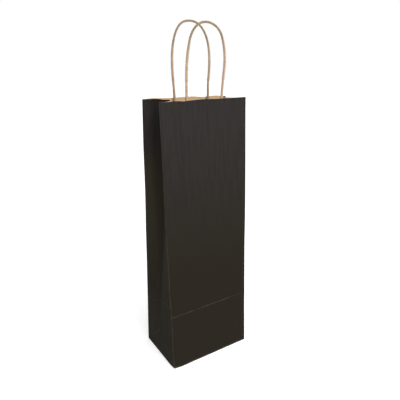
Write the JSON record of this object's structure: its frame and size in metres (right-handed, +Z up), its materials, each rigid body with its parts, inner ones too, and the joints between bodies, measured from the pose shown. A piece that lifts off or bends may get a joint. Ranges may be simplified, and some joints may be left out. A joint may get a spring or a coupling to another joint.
{
  "type": "wine gift bag",
  "caption": "Tall block-bottom paper carrier bag for a wine bottle, with V-folded side gussets and twisted paper cord handles; the walls lean open and shut and the handles swing.",
  "frame": {"origin": "centre of the bottom, on the surface the bag stands on", "axes": "+Z up, towards the mouth; -Y towards the front wall, +Y towards the back wall with the glued seam; +X and -X towards the gussets"},
  "size_m": [0.12, 0.08, 0.4369],
  "materials": {
    "black_kraft": "matte ribbed kraft, black outside and natural inside",
    "patch_kraft": "matte natural kraft",
    "cord_kraft": "matte natural kraft, twisted"
  },
  "bodies": {
    "base": {"bottom_front_flap": "black_kraft", "bottom_back_flap": "black_kraft", "bottom_left_tuck": "black_kraft", "bottom_right_tuck": "black_kraft", "left_gusset_triangle": "black_kraft", "right_gusset_triangle": "black_kraft", "left_gusset_front_half": "black_kraft", "left_gusset_back_half": "black_kraft", "right_gusset_front_half": "black_kraft", "right_gusset_back_half": "black_kraft"},
    "front_wall": {"front_panel": "black_kraft", "front_outer_patch": "patch_kraft", "front_inner_patch": "patch_kraft", "front_handle_tails": "cord_kraft"},
    "back_wall": {"back_panel": "black_kraft", "back_seam_lap": "black_kraft", "back_outer_patch": "patch_kraft", "back_inner_patch": "patch_kraft", "back_handle_tails": "cord_kraft"},
    "front_handle": {"front_handle": "cord_kraft"},
    "back_handle": {"back_handle": "cord_kraft"}
  },
  "joints": [
    {"name": "front_wall_lean", "type": "hinge", "parent": "base", "child": "front_wall", "pos_m": [0, -0.04, 0.0007], "axis": [1, 0, 0], "range_deg": [-1, 3.34], "stiffness_Nm_per_rad": 0.15, "deforming": ["left_gusset_front_half", "right_gusset_front_half"]},
    {"name": "back_wall_lean", "type": "hinge", "parent": "base", "child": "back_wall", "pos_m": [0, 0.04, 0.0007], "axis": [-1, 0, 0], "range_deg": [-1, 3.34], "stiffness_Nm_per_rad": 0.15, "deforming": ["left_gusset_back_half", "right_gusset_back_half"]},
    {"name": "front_handle_swing", "type": "hinge", "parent": "front_wall", "child": "front_handle", "pos_m": [0.0016, -0.01749, 0.35119], "axis": [1, 0, 0], "range_deg": [-11.5, 84], "stiffness_Nm_per_rad": 0.004},
    {"name": "back_handle_swing", "type": "hinge", "parent": "back_wall", "child": "back_handle", "pos_m": [0.0052, 0.01749, 0.35119], "axis": [-1, 0, 0], "range_deg": [-5.5, 90], "stiffness_Nm_per_rad": 0.004}
  ]
}
